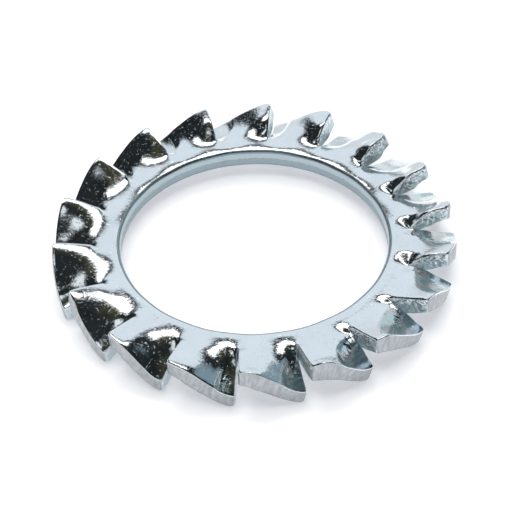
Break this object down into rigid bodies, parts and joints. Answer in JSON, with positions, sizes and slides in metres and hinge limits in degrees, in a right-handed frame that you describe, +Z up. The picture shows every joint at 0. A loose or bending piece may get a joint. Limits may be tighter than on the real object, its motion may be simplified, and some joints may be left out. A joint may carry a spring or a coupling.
{
  "type": "toothed lock washer",
  "caption": "External toothed lock washer: a flat steel ring whose outer edge is slit into short teeth, each twisted about its own radial axis to bite against turning.",
  "frame": {"origin": "on the axis of the bore, in the plane that the washer stands on", "axes": "+Z up along the axis of the bore, from the pressed-down trailing corners of the teeth towards the raised leading corners"},
  "size_m": [0.0256, 0.0254, 0.003],
  "materials": {
    "zinc_plated_steel": "bright zinc plate, blue passivated"
  },
  "bodies": {
    "root": {"lock_washer": "zinc_plated_steel"}
  },
  "joints": []
}
